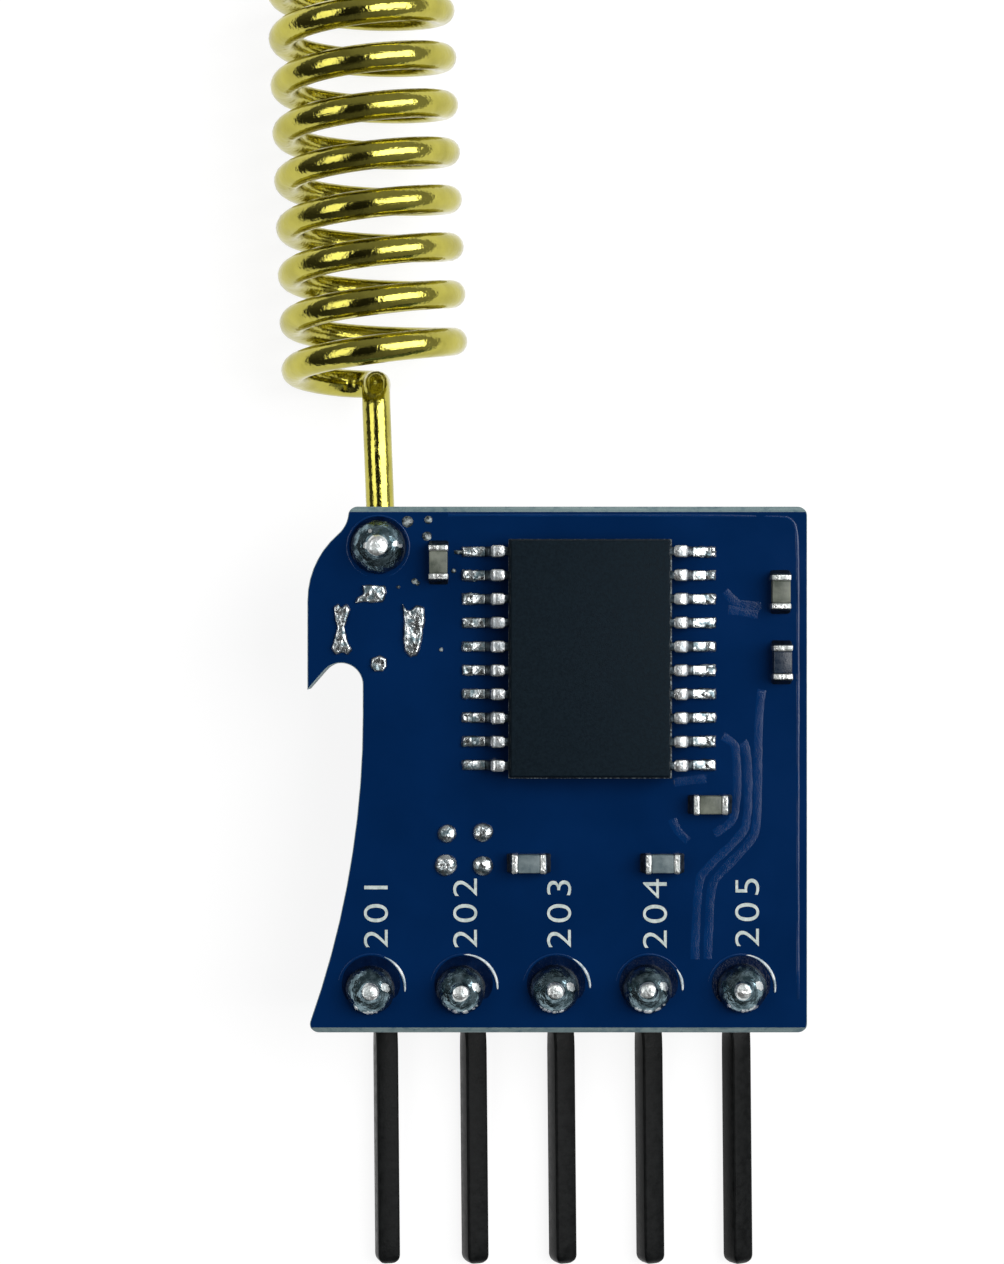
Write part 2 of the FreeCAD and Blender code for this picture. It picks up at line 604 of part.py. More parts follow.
make_board()
make_strip()
for number in range(1, int(size("pin_count")) + 1):
    make_pin(number)
    make_joint(
        f"header_joint_{number}",
        f"Sizes.header_x + Sizes.pin_spacing * ({number} - (Sizes.pin_count + 1) / 2)",
        HEADER_Y,
        "Sizes.joint_radius",
        "Sizes.joint_height",
        lambda sketch: rectangle(sketch, "Sizes.pin_width", "Sizes.pin_width"),
    )
make_antenna()
make_joint(
    "antenna_joint",
    ANTENNA_X,
    ANTENNA_Y,
    "Sizes.antenna_joint_radius",
    "Sizes.antenna_joint_height",
    lambda sketch: circle(sketch, "Sizes.wire_diameter + 2 * Sizes.joint_clearance"),
)
make_chip()
for number in range(1, 2 * int(size("leads_a_side")) + 1):
    make_lead(number)
make_toes()
for small_part in SMALL_PARTS:
    make_small_part(*small_part)
for land in SOCKET_LANDS:
    make_socket_land(*land)
make_test_lands()
doc.recompute()

# Every object and every solid is checked before anything is written
for item in doc.Objects:
    if "Invalid" in item.State or "Error" in item.State:
        raise RuntimeError(f"{item.Name} failed: {item.State}")
for node in nodes:
    if node.Shape.isNull() or not node.Shape.isValid() or not node.Shape.Solids:
        raise RuntimeError(f"{node.Label} has no sound shape")
for node in nodes:
    node.Shape.exportStep(f"parts/{node.Label}.step")
    print(node.Label, len(node.Shape.Solids), "solid(s)", round(node.Shape.Volume, 4), "cubic mm")
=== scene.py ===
import bmesh
import bpy
import math
import random
from mathutils import Matrix, Vector


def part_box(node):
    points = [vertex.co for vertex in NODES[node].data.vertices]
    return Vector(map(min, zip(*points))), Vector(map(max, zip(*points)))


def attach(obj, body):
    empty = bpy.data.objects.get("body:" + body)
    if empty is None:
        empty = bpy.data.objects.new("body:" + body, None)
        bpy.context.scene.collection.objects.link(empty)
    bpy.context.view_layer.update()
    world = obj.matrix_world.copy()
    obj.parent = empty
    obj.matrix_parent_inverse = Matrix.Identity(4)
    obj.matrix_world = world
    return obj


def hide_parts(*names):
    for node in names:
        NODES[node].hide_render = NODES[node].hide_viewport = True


# Radio module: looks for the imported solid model. Pieces are modelled in millimetres at their place on the
# module and are brought to metres at the end. Places on the board are given from the board's middle.
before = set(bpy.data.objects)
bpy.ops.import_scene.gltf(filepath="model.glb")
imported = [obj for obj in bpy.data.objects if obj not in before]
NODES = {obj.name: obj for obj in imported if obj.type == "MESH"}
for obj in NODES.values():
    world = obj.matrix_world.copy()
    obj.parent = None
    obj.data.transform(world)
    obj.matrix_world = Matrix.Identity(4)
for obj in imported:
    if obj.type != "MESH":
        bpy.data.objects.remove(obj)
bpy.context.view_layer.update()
MM = 0.001
random.seed(7)

# Sizes and places of the solid model. Here the pins end 0.08 mm sooner and are twisted, in degrees.
BOARD_X, BOARD_Y, FRONT = 0.68, -4.44, 5.5
BOARD_THICKNESS = 1.6
HALF_WIDTH, HALF_LENGTH = 6.86, 7.23
HEADER_Y = -5.99
PIN_X = (-5.10, -2.56, -0.02, 2.52, 5.06)
PIN_WIDTH, PIN_BEND, PIN_REACH = 0.64, 0.72, 8.52
PIN_TWIST = (13, 21, 24, 25, 32)
ANTENNA_HOLE = (-4.92, 6.12)
CHIP_X, CHIP_Y, CHIP_HALF = 0.87, 3.06, 2.2
LEAD_PITCH, LEADS_A_SIDE = 0.65, 10


# Small helpers

def deselect():
    if bpy.context.object and bpy.context.object.mode != "OBJECT":
        bpy.ops.object.mode_set(mode="OBJECT")
    bpy.ops.object.select_all(action="DESELECT")


def hold(piece):
    """Make a piece the only selected one."""
    deselect()
    piece.select_set(True)
    bpy.context.view_layer.objects.active = piece
    return piece


def fresh(name):
    """Name the object that an operator has just added."""
    piece = bpy.context.object
    piece.name = name
    piece.data.name = name
    return piece


def edit(kind="FACE"):
    bpy.ops.object.mode_set(mode="EDIT")
    bpy.ops.mesh.select_mode(type=kind)


def leave():
    bpy.ops.object.mode_set(mode="OBJECT")


def pick(piece, test, kind="FACE"):
    """In edit mode, select the faces, edges or vertices that pass a test."""
    bpy.ops.mesh.select_mode(type=kind)
    bpy.ops.mesh.select_all(action="DESELECT")
    mesh = bmesh.from_edit_mesh(piece.data)
    parts = {"FACE": mesh.faces, "EDGE": mesh.edges, "VERT": mesh.verts}[kind]
    for part in parts:
        if test(part):
            part.select_set(True)
    mesh.select_flush_mode()
    bmesh.update_edit_mesh(piece.data)


def extrude(x, y, z):
    bpy.ops.mesh.extrude_region_move(TRANSFORM_OT_translate={"value": (x, y, z)})


def resize(x, y, z, centre):
    bpy.ops.transform.resize(value=(x, y, z), center_override=centre)


def shape(piece, kind, **values):
    """Add a modifier to a piece and apply it."""
    hold(piece)
    modifier = piece.modifiers.new(kind.title(), kind)
    for label, value in values.items():
        setattr(modifier, label, value)
    bpy.ops.object.modifier_apply(modifier=modifier.name)


def ripple(piece, grain, strength, depth=2):
    """Move a surface in and out by a cloud pattern whose size is in millimetres."""
    texture = bpy.data.textures.new(f"{piece.name}_clouds", "CLOUDS")
    texture.noise_scale = grain
    texture.noise_depth = depth
    shape(piece, "DISPLACE", texture=texture, strength=strength, mid_level=0.5)


def close_up(piece, gap=1e-4):
    """Merge doubled vertices and turn every face outwards."""
    hold(piece)
    edit("VERT")
    bpy.ops.mesh.select_all(action="SELECT")
    bpy.ops.mesh.remove_doubles(threshold=gap)
    bpy.ops.mesh.normals_make_consistent(inside=False)
    leave()


def smooth(piece, angle=40):
    hold(piece)
    bpy.ops.object.shade_smooth_by_angle(angle=math.radians(angle))


def place(piece, x, y, z=0.0):
    """Put a piece on the board's component side, at a place given from the board's middle."""
    piece.location = (BOARD_X + x, BOARD_Y + y, FRONT + z)
    return piece


def settle_place(piece):
    """Move a piece's place, turn and scale into its mesh."""
    hold(piece)
    bpy.ops.object.transform_apply(location=True, rotation=True, scale=True)


def join(name, pieces):
    deselect()
    for piece in pieces:
        piece.select_set(True)
    bpy.context.view_layer.objects.active = pieces[0]
    bpy.ops.object.join()
    return fresh(name)


def copy_of(node, name):
    """A copy of a solid of the frame, merged and in millimetres, to be dressed further."""
    mesh = NODES[node].data.copy()
    mesh.transform(Matrix.Scale(1 / MM, 4))
    mesh.materials.clear()
    piece = bpy.data.objects.new(name, mesh)
    bpy.context.scene.collection.objects.link(piece)
    hold(piece)
    bpy.ops.mesh.customdata_custom_splitnormals_clear()
    edit("VERT")
    bpy.ops.mesh.select_all(action="SELECT")
    bpy.ops.mesh.remove_doubles(threshold=1e-4)
    bpy.ops.mesh.dissolve_limited(angle_limit=math.radians(1))
    leave()
    return piece


def finish_piece(piece, material, slot, *nodes):
    """Bring a finished piece to metres and tie it to the frame."""
    settle_place(piece)
    piece.scale = (MM, MM, MM)
    bpy.ops.object.transform_apply(location=False, rotation=False, scale=True)
    if material is not None:
        piece.data.materials.clear()
        piece.data.materials.append(material)
    if nodes:
        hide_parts(*nodes)
    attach(piece, "root")
    return piece


# Shader groups that several finishes share

def new_group(name, inputs, outputs):
    tree = bpy.data.node_groups.new(name, "ShaderNodeTree")
    for label, value in inputs:
        socket = tree.interface.new_socket(label, in_out="INPUT", socket_type="NodeSocketFloat")
        socket.default_value = value
    for label, kind in outputs:
        tree.interface.new_socket(label, in_out="OUTPUT", socket_type=kind)
    return tree, tree.nodes.new("NodeGroupInput"), tree.nodes.new("NodeGroupOutput")


def mottle_group():
    """Soft spots: a mask from 0 to 1 whose spots have a given number to the metre."""
    tree, given, out = new_group(
        "Mottle", (("Scale", 2000.0), ("Low", 0.35), ("High", 0.65)), (("Mask", "NodeSocketFloat"),)
    )
    where = tree.nodes.new("ShaderNodeTexCoord")
    noise = tree.nodes.new("ShaderNodeTexNoise")
    noise.inputs["Detail"].default_value = 4.0
    span = tree.nodes.new("ShaderNodeMapRange")
    link = tree.links.new
    link(where.outputs["Object"], noise.inputs["Vector"])
    link(given.outputs["Scale"], noise.inputs["Scale"])
    link(noise.outputs["Fac"], span.inputs["Value"])
    link(given.outputs["Low"], span.inputs["From Min"])
    link(given.outputs["High"], span.inputs["From Max"])
    link(span.outputs["Result"], out.inputs["Mask"])
    return tree


def grain_group():
    """Surface relief from two noises, a coarse and a fine one. Distance is in metres."""
    tree, given, out = new_group(
        "Grain",
        (("Coarse", 3000.0), ("Fine", 20000.0), ("Share", 0.5), ("Distance", 0.00001)),
        (("Normal", "NodeSocketVector"), ("Height", "NodeSocketFloat")),
    )
    where = tree.nodes.new("ShaderNodeTexCoord")
    coarse = tree.nodes.new("ShaderNodeTexNoise")
    fine = tree.nodes.new("ShaderNodeTexNoise")
    fine.inputs["Detail"].default_value = 3.0
    blend = tree.nodes.new("ShaderNodeMix")
    bump = tree.nodes.new("ShaderNodeBump")
    link = tree.links.new
    for noise, label in ((coarse, "Coarse"), (fine, "Fine")):
        link(where.outputs["Object"], noise.inputs["Vector"])
        link(given.outputs[label], noise.inputs["Scale"])
    link(given.outputs["Share"], blend.inputs[0])
    link(coarse.outputs["Fac"], blend.inputs[2])
    link(fine.outputs["Fac"], blend.inputs[3])
    link(given.outputs["Distance"], bump.inputs["Distance"])
    link(blend.outputs[0], bump.inputs["Height"])
    link(bump.outputs["Normal"], out.inputs["Normal"])
    link(blend.outputs[0], out.inputs["Height"])
    return tree


MOTTLE = mottle_group()
GRAIN = grain_group()


class Finish:
    """A material with a Principled shader and short ways to add the shared groups to it."""

    def __init__(self, name, metallic=0.0, ior=1.5):
        self.material = bpy.data.materials.new(name)
        self.material.use_nodes = True
        self.nodes = self.material.node_tree.nodes
        self.shader = self.nodes["Principled BSDF"]
        self.shader.inputs["Metallic"].default_value = metallic
        self.shader.inputs["IOR"].default_value = ior

    def link(self, start, end):
        self.material.node_tree.links.new(start, end)

    def mottle(self, scale, low=0.35, high=0.65):
        """A mask of soft spots."""
        node = self.nodes.new("ShaderNodeGroup")
        node.node_tree = MOTTLE
        for label, value in (("Scale", scale), ("Low", low), ("High", high)):
            node.inputs[label].default_value = value
        return node.outputs["Mask"]

    def grain(self, coarse, fine, share, distance):
        """Surface relief on the whole material. Distance is in metres."""
        node = self.nodes.new("ShaderNodeGroup")
        node.node_tree = GRAIN
        values = (("Coarse", coarse), ("Fine", fine), ("Share", share), ("Distance", distance))
        for label, value in values:
            node.inputs[label].default_value = value
        self.link(node.outputs["Normal"], self.shader.inputs["Normal"])
        return node

    def blend(self, mask, first, second):
        """A colour that goes from the first to the second as the mask goes from 0 to 1."""
        node = self.nodes.new("ShaderNodeMix")
        node.data_type = "RGBA"
        self.link(mask, node.inputs[0])
        for socket, colour in ((node.inputs[6], first), (node.inputs[7], second)):
            if isinstance(colour, tuple):
                socket.default_value = (*colour, 1.0)
            else:
                self.link(colour, socket)
        return node.outputs[2]

    def span(self, mask, low, high):
        """A value that goes from low to high as the mask goes from 0 to 1."""
        node = self.nodes.new("ShaderNodeMapRange")
        self.link(mask, node.inputs["Value"])
        node.inputs["To Min"].default_value = low
        node.inputs["To Max"].default_value = high
        return node.outputs["Result"]

    def colour(self, socket):
        self.link(socket, self.shader.inputs["Base Color"])

    def roughness(self, socket):
        self.link(socket, self.shader.inputs["Roughness"])


def plain_finish(name, dark, light, rough, spots, metallic=0.0, coarse=4000.0, fine=26000.0,
                 share=0.5, distance=0.00001, low=0.35, high=0.65):
    """A finish whose colour and roughness both follow soft spots, with a fine relief."""
    finish = Finish(name, metallic)
    mask = finish.mottle(spots, low, high)
    finish.colour(finish.blend(mask, dark, light))
    finish.roughness(finish.span(mask, *rough))
    finish.grain(coarse, fine, share, distance)
    return finish.material


def make_laminate():
    """Glass-fibre laminate: pale, with thin layers that run round the board's edge."""
    finish = Finish("Laminate")
    where = finish.nodes.new("ShaderNodeTexCoord")
    stretch = finish.nodes.new("ShaderNodeMapping")
    stretch.inputs["Scale"].default_value = (170.0, 170.0, 11000.0)
    layers = finish.nodes.new("ShaderNodeTexNoise")
    layers.inputs["Scale"].default_value = 1.0
    layers.inputs["Detail"].default_value = 5.0
    finish.link(where.outputs["Object"], stretch.inputs["Vector"])
    finish.link(stretch.outputs["Vector"], layers.inputs["Vector"])
    mask = finish.span(layers.outputs["Fac"], -0.6, 1.6)
    stained = finish.blend(mask, (0.13, 0.205, 0.225), (0.27, 0.36, 0.36))
    blotches = finish.mottle(4500.0, 0.5, 0.8)
    finish.colour(finish.blend(blotches, stained, (0.06, 0.13, 0.17)))
    finish.roughness(finish.span(mask, 0.55, 0.4))
    finish.grain(5000.0, 24000.0, 0.6, 0.00003)
    return finish.material


def make_brass():
    """Bright drawn wire: fine lines run along it, with a few duller patches."""
    finish = Finish("Gilt_Wire", metallic=1.0)
    wrap = finish.nodes.new("ShaderNodeTexCoord")
    stretch = finish.nodes.new("ShaderNodeMapping")
    stretch.inputs["Scale"].default_value = (60.0, 24.0, 1.0)
    lines = finish.nodes.new("ShaderNodeTexNoise")
    lines.inputs["Scale"].default_value = 1.0
    lines.inputs["Detail"].default_value = 4.0
    finish.link(wrap.outputs["UV"], stretch.inputs["Vector"])
    finish.link(stretch.outputs["Vector"], lines.inputs["Vector"])
    dull = finish.mottle(1300.0, 0.4, 0.75)
    finish.colour(finish.blend(dull, (0.50, 0.455, 0.088), (0.38, 0.345, 0.062)))
    finish.roughness(finish.span(dull, 0.08, 0.17))
    waves = finish.grain(1600.0, 9000.0, 0.3, 0.00003)
    drawn = finish.nodes.new("ShaderNodeBump")
    drawn.inputs["Distance"].default_value = 0.000008
    finish.link(lines.outputs["Fac"], drawn.inputs["Height"])
    finish.link(waves.outputs["Normal"], drawn.inputs["Normal"])
    finish.link(drawn.outputs["Normal"], finish.shader.inputs["Normal"])
    return finish.material


def make_solder(name, dark, light, rough, distance):
    """Solder: bright metal with a crystalline skin and grey flux residue."""
    finish = Finish(name, metallic=1.0)
    patches = finish.mottle(5200.0, 0.38, 0.62)
    crystals = finish.nodes.new("ShaderNodeTexVoronoi")
    crystals.inputs["Scale"].default_value = 11000.0
    where = finish.nodes.new("ShaderNodeTexCoord")
    finish.link(where.outputs["Object"], crystals.inputs["Vector"])
    finish.colour(finish.blend(patches, light, dark))
    finish.roughness(finish.span(patches, *rough))
    relief = finish.grain(6000.0, 22000.0, 0.45, distance)
    plates = finish.nodes.new("ShaderNodeBump")
    plates.inputs["Distance"].default_value = distance * 0.5
    finish.link(crystals.outputs["Distance"], plates.inputs["Height"])
    finish.link(relief.outputs["Normal"], plates.inputs["Normal"])
    finish.link(plates.outputs["Normal"], finish.shader.inputs["Normal"])
    return finish.material


# Finishes of this module: the two colours of each, then its range of roughness

MASK = plain_finish("Solder_Mask", (0.0005, 0.0155, 0.070), (0.0008, 0.0182, 0.082), (0.05, 0.09),
                    500.0, coarse=900.0, fine=12000.0, share=0.2, distance=0.000007)
TRACE_MASK = plain_finish("Mask_Over_Copper", (0.0008, 0.0215, 0.094), (0.0012, 0.0260, 0.110),
                          (0.06, 0.12), 1500.0, distance=0.00001)
# Painted shade: the dark arcs of mask between each joint and the rim round it
PAINTED_SHADE_MASK = plain_finish("Mask_Edge_Painted_Shade", (0.0004, 0.0045, 0.022), (0.0008, 0.0085, 0.038),
                        (0.08, 0.15), 2500.0, distance=0.00001)
# Pale painted highlight on the lit side of the rims round the header's joints
PAINTED_HIGHLIGHT_RIM = plain_finish("Mask_Rim_Painted_Highlight", (0.26, 0.36, 0.42), (0.86, 0.90, 0.90), (0.12, 0.3), 3800.0)
for glossy in (MASK, TRACE_MASK, PAINTED_SHADE_MASK):
    glossy.node_tree.nodes["Principled BSDF"].inputs["Specular IOR Level"].default_value = 0.3
LAMINATE = make_laminate()
BRASS = make_brass()
SOLDER = make_solder("Solder", (0.050, 0.088, 0.105), (0.21, 0.30, 0.34), (0.1, 0.28), 0.000014)
# Painted shade on the solder beside the small parts' ends
PAINTED_SHADE_SOLDER = make_solder("Solder_Painted_Shade", (0.02, 0.03, 0.042), (0.07, 0.095, 0.12), (0.3, 0.5), 0.00001)
# Bright tin for the ends of pins and wire, also used for painted glints on the joints
TIN_AND_PAINTED_GLINTS = make_solder("Wire_End_And_Painted_Glints", (0.62, 0.68, 0.68), (0.92, 0.94, 0.93), (0.3, 0.5), 0.00001)
TINNED = make_solder("Tinned_Land", (0.13, 0.18, 0.20), (0.86, 0.90, 0.90), (0.16, 0.4), 0.000012)
LEAD_TIN = make_solder("Tinned_Lead", (0.42, 0.46, 0.48), (0.88, 0.90, 0.90), (0.25, 0.45), 0.00001)
# Painted shade on the leads: at the chip's wall, and on the steep leg that faces the dark
LEAD_PAINTED_SHADE = make_solder("Lead_Painted_Shade", (0.02, 0.03, 0.04), (0.12, 0.15, 0.17), (0.35, 0.5), 0.00001)
END_CAP = make_solder("End_Cap", (0.45, 0.48, 0.47), (0.90, 0.92, 0.90), (0.25, 0.5), 0.000015)
CHIP_PLASTIC = plain_finish("Chip_Mould", (0.0035, 0.0085, 0.0135), (0.0065, 0.0135, 0.020),
                            (0.5, 0.7), 14000.0, fine=30000.0, share=0.75, distance=0.000015)
CHIP_PLASTIC.node_tree.nodes["Principled BSDF"].inputs["Specular IOR Level"].default_value = 0.06
# The mould seam, whose pale specks are painted highlight along the chip's edges
SEAM_AND_GLINTS = plain_finish("Chip_Seam_Painted_Glints", (0.006, 0.010, 0.014), (0.22, 0.27, 0.29), (0.4, 0.6), 16000.0,
                    low=0.48, high=0.62)
STRIP_PLASTIC = plain_finish("Header_Plastic", (0.010, 0.010, 0.011), (0.020, 0.020, 0.022),
                             (0.38, 0.55), 3000.0, distance=0.00001)
PIN_METAL = plain_finish("Dark_Pin", (0.0035, 0.0040, 0.0042), (0.007, 0.0078, 0.008), (0.3, 0.42),
                         5200.0, coarse=2200.0, fine=16000.0, distance=0.000008)
PIN_METAL.node_tree.nodes["Principled BSDF"].inputs["Specular IOR Level"].default_value = 0.1
BROWN = plain_finish("Brown_Ceramic", (0.055, 0.068, 0.052), (0.17, 0.185, 0.15), (0.35, 0.55), 2600.0)
GREY = plain_finish("Grey_Ceramic", (0.075, 0.110, 0.125), (0.16, 0.205, 0.215), (0.35, 0.55), 3200.0)
BLACK = plain_finish("Black_Ceramic", (0.006, 0.014, 0.030), (0.014, 0.028, 0.05), (0.2, 0.4), 6000.0)
INK = plain_finish("White_Ink", (0.42, 0.50, 0.48), (0.62, 0.68, 0.66), (0.5, 0.7), 9000.0)
FLUX = plain_finish("Flux_Residue", (0.015, 0.025, 0.03), (0.42, 0.48, 0.48), (0.15, 0.4), 7000.0,
                    low=0.42, high=0.66)


# Board

def make_board():
    board = copy_of("circuit_board", "board")
    shape(board, "BEVEL", width=0.035, segments=2, limit_method="ANGLE", angle_limit=math.radians(25))
    shape(board, "WEIGHTED_NORMAL", keep_sharp=True)
    board.data.materials.append(MASK)
    board.data.materials.append(LAMINATE)
    for face in board.data.polygons:
        face.material_index = 0 if abs(face.normal.z) > 0.97 else 1
    finish_piece(board, None, "solder_mask", "circuit_board")


def relief(name, paths, width, height, lumps, material):
    """Low soft ridges that follow paths over the board, as copper does under the mask: bars with an
    oval section, of which only the top stands out of the board."""
    curve = bpy.data.curves.new(name, "CURVE")
    curve.dimensions = "3D"
    curve.bevel_depth = width / 2
    curve.bevel_resolution = 10
    curve.resolution_u = 12
    curve.use_fill_caps = True
    for path in paths:
        spline = curve.splines.new("NURBS")
        spline.points.add(len(path) - 1)
        for point, (x, y) in zip(spline.points, path):
            point.co = (x, y, 0.0, 1.0)
        spline.order_u = 3
        spline.use_endpoint_u = True
    piece = bpy.data.objects.new(name, curve)
    bpy.context.scene.collection.objects.link(piece)
    hold(piece)
    bpy.ops.object.convert(target="MESH")
    piece = bpy.context.object
    piece.scale.z = height / (width / 2)
    place(piece, 0.0, 0.0, -0.72 * height)
    settle_place(piece)
    close_up(piece)
    ripple(piece, 0.3, lumps, 2)
    smooth(piece, 80)
    finish_piece(piece, material, "solder_mask")


def make_reliefs():
    right, top = HALF_WIDTH - 0.25, HALF_LENGTH - 0.24
    relief("copper_border", [
        [(right, -6.3), (right, 0.0), (right, 6.3), (right - 0.1, top - 0.1), (6.0, top), (-3.0, top)],
    ], width=0.11, height=0.03, lumps=0.035, material=TRACE_MASK)
    relief("copper_traces", [
        [(4.55, 0.93), (4.8, 0.78), (4.93, 0.55), (4.93, -1.15), (4.7, -1.55), (4.3, -1.75)],
        [(5.1, 0.76), (5.24, 0.6), (5.24, -1.45), (5.05, -1.8), (4.1, -2.7), (3.82, -3.1), (3.78, -5.2)],
        [(5.62, 2.2), (5.5, 1.6), (5.5, -1.6), (5.3, -2.0), (4.4, -2.9), (4.17, -3.3), (4.13, -5.2)],
        [(4.6, 4.9), (4.8, 4.65), (5.1, 4.5), (5.6, 4.5)],
        [(4.7, 4.4), (5.1, 4.35), (5.5, 4.25)],
        [(3.2, -0.35), (3.7, -0.27), (4.1, -0.25)],
        [(3.15, -1.35), (3.3, -1.75), (3.6, -1.95)],
    ], width=0.34, height=0.011, lumps=0.003, material=TRACE_MASK)


def ring_arc(name, x, y, radius, start, sweep, width, height):
    """A raised arc of mask round a solder joint, thick near its start and thin at its far end."""
    bpy.ops.mesh.primitive_circle_add(vertices=10, radius=width / 2, fill_type="NGON",
                                      rotation=(math.radians(90), 0, 0), location=(radius, 0, 0))
    arc = fresh(name)
    settle_place(arc)
    edit("VERT")
    bpy.ops.mesh.select_all(action="SELECT")
    bpy.ops.mesh.spin(steps=36, angle=-math.radians(sweep), center=(0, 0, 0), axis=(0, 0, 1))
    leave()
    close_up(arc)
    for vertex in arc.data.vertices:
        reach = math.hypot(vertex.co.x, vertex.co.y)
        share = math.degrees(math.atan2(vertex.co.y, vertex.co.x)) % 360 / sweep
        thick = 0.25 + 0.75 * math.sin(math.pi * min(0.12 + 0.88 * share, 1))
        grow = (radius + (reach - radius) * thick) / reach
        vertex.co = (vertex.co.x * grow, vertex.co.y * grow, vertex.co.z * thick)
    arc.rotation_euler.z = math.radians(start)
    settle_place(arc)
    arc.scale.z = height / (width / 2)
    place(arc, x, y)
    settle_place(arc)
    smooth(arc, 60)
    return arc


def shade_ring(name, x, y, inner, outer, start, sweep):
    """A thin dark arc of painted shade on the mask between a solder joint and the rim round it."""
    bpy.ops.mesh.primitive_plane_add(size=1, rotation=(math.radians(90), 0, 0))
    arc = fresh(name)
    arc.scale = (outer - inner, 0.02, 1)
    settle_place(arc)
    arc.location = ((outer + inner) / 2, 0, 0)
    settle_place(arc)
    edit("VERT")
    bpy.ops.mesh.select_all(action="SELECT")
    bpy.ops.mesh.spin(steps=30, angle=-math.radians(sweep), center=(0, 0, 0), axis=(0, 0, 1))
    leave()
    close_up(arc)
    for vertex in arc.data.vertices:
        reach = math.hypot(vertex.co.x, vertex.co.y)
        share = math.degrees(math.atan2(vertex.co.y, vertex.co.x)) % 360 / sweep
        grow = (inner + (reach - inner) * (0.3 + 0.7 * math.sin(math.pi * min(share, 1)) ** 0.5)) / reach
        vertex.co = (vertex.co.x * grow, vertex.co.y * grow, vertex.co.z)
    arc.rotation_euler.z = math.radians(start)
    place(arc, x, y)
    settle_place(arc)
    return arc


def make_rings():
    """The rims round the joints: a pale painted highlight over the angles (start, sweep) at the header, and
    dim beyond them, with dark painted shade inside each rim.
    """
    bright, dim, shades = [], [], []
    lit = ((-6, 74), (-2, 92), (0, 62), (-4, 38), (-8, 90))
    for number, (x, (start, sweep)) in enumerate(zip(PIN_X, lit), start=1):
        bright.append(ring_arc(f"ring_{number}", x, HEADER_Y, radius=0.92, start=start, sweep=sweep,
                               width=0.085, height=0.05))
        rest = start + sweep - 4
        dim.append(ring_arc(f"dim_ring_{number}", x, HEADER_Y, radius=0.93, start=rest, sweep=168 - rest,
                            width=0.06, height=0.03))
        shades.append(shade_ring(f"shade_{number}", x, HEADER_Y, inner=0.5, outer=0.89, start=-30,
                                 sweep=250))
    dim.append(ring_arc("dim_ring_6", *ANTENNA_HOLE, radius=0.86, start=-70, sweep=320, width=0.05,
                        height=0.02))
    shades.append(shade_ring("shade_6", *ANTENNA_HOLE, inner=0.5, outer=0.835, start=-100, sweep=359.9))
    finish_piece(join("mask_rim_highlights", bright), PAINTED_HIGHLIGHT_RIM, "solder_mask")
    finish_piece(join("mask_rings", dim), TRACE_MASK, "solder_mask")
    finish_piece(join("mask_shades", shades), PAINTED_SHADE_MASK, "solder_mask")


# Numbers on the board

def make_numbers():
    """Plain running numbers in white ink beside the header's joints, read from the right."""
    corners = ((-4.65, -4.93), (-2.20, -4.93), (0.378, -4.93), (3.01, -4.95), (5.54, -4.9))
    marks = []
    for number, (x, y) in enumerate(corners, start=1):
        deselect()
        bpy.ops.object.text_add()
        mark = fresh(f"mark_{number}")
        mark.data.body = str(200 + number)
        mark.data.size = 0.96
        mark.data.space_character = 1.2
        mark.data.offset = -0.007
        mark.data.extrude = 0.006
        bpy.ops.object.convert(target="MESH")
        mark = bpy.context.object
        mark.scale.x = 1.22
        mark.rotation_euler.z = math.radians(90)
        place(mark, x, y, 0.006)
        close_up(mark)
        settle_place(mark)
        marks.append(mark)
    finish_piece(join("terminal_numbers", marks), INK, "solder_mask")


# Header

# How a pin stands, in millimetres: its top above the board, its rounded corners, the length over which it
# twists, its drift aside over a depth, and its drift for each millimetre out. Then the tip's steps: length
# and share of the width.
PIN_TOP, PIN_CORNER, TWIST_RUN = 0.42, 0.075, 1.6
DRIFT, DRIFT_DEPTH, DRIFT_A_MM = 0.19, 4.6, 0.009
PIN_TIP = ((0.07, 0.97), (0.06, 0.93), (0.05, 0.87), (0.05, 0.77), (0.03, 0.6))


def make_strip():
    """The header's plastic strip, drawn a little smaller to stay behind the board's hollow side."""
    strip = copy_of("header_strip", "header_block")
    hold(strip)
    edit("VERT")
    bpy.ops.mesh.select_all(action="SELECT")
    resize(0.97, 0.95, 1, (BOARD_X + PIN_X[2], BOARD_Y + HEADER_Y, 0))
    leave()
    shape(strip, "BEVEL", width=0.07, segments=3, limit_method="ANGLE", angle_limit=math.radians(30))
    smooth(strip, 35)
    finish_piece(strip, STRIP_PLASTIC, "black_plastic", "header_strip")


def ease(share):
    """A share held between 0 and 1 that starts and ends softly."""
    share = min(max(share, 0.0), 1.0)
    return share * share * (3 - 2 * share)


